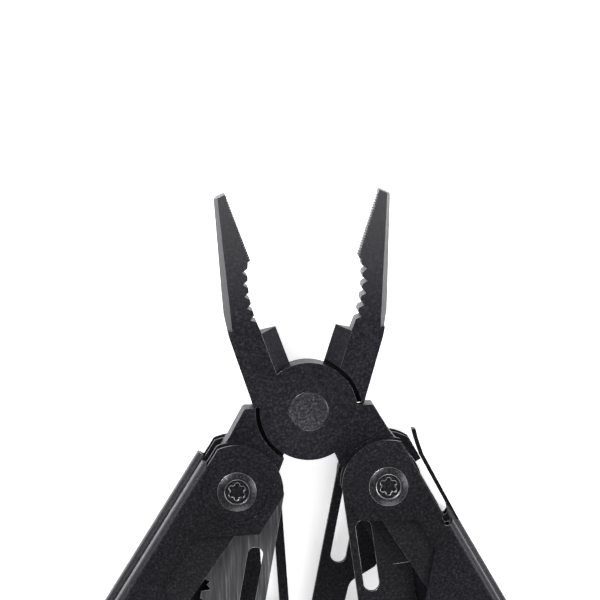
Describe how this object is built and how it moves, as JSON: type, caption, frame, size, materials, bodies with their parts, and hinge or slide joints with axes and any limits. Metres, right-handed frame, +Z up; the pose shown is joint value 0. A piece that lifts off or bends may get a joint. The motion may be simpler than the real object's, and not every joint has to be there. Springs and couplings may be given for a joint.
{
  "type": "multi tool",
  "caption": "Folding needle-nose plier tool with two folded-sheet handles, fanned outer blades on the head pivots and inner tools on the tail pivots.",
  "frame": {"origin": "centre of the bounding box, on the plane that the open tool lies on", "axes": "+X across the tool to the picture's right, +Y towards the jaw tips, +Z up out of the face it lies on"},
  "size_m": [0.1304, 0.1392, 0.0181],
  "materials": {
    "head_steel": "black oxide over fine blasted forging",
    "frame_steel": "black oxide over bead-blasted sheet",
    "blade_grey": "grey ground blade steel",
    "blade_black": "black oxide blade steel",
    "screw_steel": "black oxide machine screw",
    "liner_steel": "dark spring steel",
    "spacer_steel": "turned steel",
    "tool_steel": "black oxide tool steel"
  },
  "bodies": {
    "head": {"front_jaw": "head_steel"},
    "rivet": {"head_rivet": "head_steel"},
    "jaw": {"back_jaw": "head_steel"},
    "left_handle": {"handle_frame_left": "frame_steel", "liner_lock_left": "liner_steel", "head_post_left": "screw_steel", "head_screw_left": "screw_steel", "tail_post_left": "screw_steel", "tail_screw_left": "screw_steel", "blade_spacer_front_left": "spacer_steel", "blade_spacer_back_left": "spacer_steel", "tail_spacer_front_left": "spacer_steel", "tail_spacer_back_left": "spacer_steel"},
    "right_handle": {"handle_frame_right": "frame_steel", "liner_lock_right": "liner_steel", "head_post_right": "screw_steel", "head_screw_right": "screw_steel", "tail_post_right": "screw_steel", "tail_screw_right": "screw_steel", "blade_spacer_front_right": "spacer_steel", "blade_spacer_back_right": "spacer_steel", "tail_spacer_front_right": "spacer_steel", "tail_spacer_back_right": "spacer_steel", "lanyard_plate": "tool_steel"},
    "saw_blade": {"saw_blade": "blade_grey"},
    "file_blade": {"file_blade": "blade_black"},
    "knife_blade": {"knife_blade": "blade_black"},
    "serrated_blade": {"serrated_blade": "blade_black"},
    "flat_driver": {"flat_driver": "tool_steel"},
    "cross_driver": {"cross_driver": "tool_steel"},
    "can_opener": {"can_opener": "tool_steel"},
    "bottle_opener": {"bottle_opener": "tool_steel"},
    "small_driver": {"small_driver": "tool_steel"}
  },
  "joints": [
    {"name": "squeeze", "type": "hinge", "parent": "rivet", "child": "jaw", "pos_m": [0.00314, 0.03036, 0], "axis": [0, 0, -1], "range_deg": [-38.3, 0]},
    {"name": "jaw_close", "type": "hinge", "parent": "rivet", "child": "head", "pos_m": [0.00314, 0.03036, 0], "axis": [0, 0, -1], "range_deg": [0, 38.3]},
    {"name": "fold", "type": "hinge", "parent": "jaw", "child": "left_handle", "pos_m": [-0.01036, 0.01716, 0], "axis": [0, 0, -1], "range_deg": [0, 165.6]},
    {"name": "fold_right", "type": "hinge", "parent": "head", "child": "right_handle", "pos_m": [0.01664, 0.01716, 0], "axis": [0, 0, 1], "range_deg": [0, 170.6]},
    {"name": "saw_open", "type": "hinge", "parent": "left_handle", "child": "saw_blade", "pos_m": [-0.01036, 0.01716, 0], "axis": [0, 0, 1], "range_deg": [-22, 46]},
    {"name": "file_open", "type": "hinge", "parent": "left_handle", "child": "file_blade", "pos_m": [-0.01036, 0.01716, 0], "axis": [0, 0, 1], "range_deg": [-36, 32]},
    {"name": "knife_open", "type": "hinge", "parent": "right_handle", "child": "knife_blade", "pos_m": [0.01664, 0.01716, 0], "axis": [0, 0, -1], "range_deg": [-22, 46]},
    {"name": "serrated_open", "type": "hinge", "parent": "right_handle", "child": "serrated_blade", "pos_m": [0.01664, 0.01716, 0], "axis": [0, 0, -1], "range_deg": [-41, 27]},
    {"name": "flat_driver_open", "type": "hinge", "parent": "left_handle", "child": "flat_driver", "pos_m": [-0.05672, -0.05288, 0], "axis": [0, 0, 1], "range_deg": [0, 180]},
    {"name": "cross_driver_open", "type": "hinge", "parent": "left_handle", "child": "cross_driver", "pos_m": [-0.05672, -0.05288, 0], "axis": [0, 0, 1], "range_deg": [0, 180]},
    {"name": "can_opener_open", "type": "hinge", "parent": "left_handle", "child": "can_opener", "pos_m": [-0.05672, -0.05288, 0], "axis": [0, 0, 1], "range_deg": [0, 180]},
    {"name": "bottle_opener_open", "type": "hinge", "parent": "right_handle", "child": "bottle_opener", "pos_m": [0.05672, -0.05666, 0], "axis": [0, 0, -1], "range_deg": [0, 180]},
    {"name": "small_driver_open", "type": "hinge", "parent": "right_handle", "child": "small_driver", "pos_m": [0.05672, -0.05666, 0], "axis": [0, 0, -1], "range_deg": [0, 180]}
  ],
  "couplings": [
    {"joint": "jaw_close", "follows": "fold", "ratio": 0.23127},
    {"joint": "fold_right", "follows": "fold", "ratio": 1.0302}
  ]
}
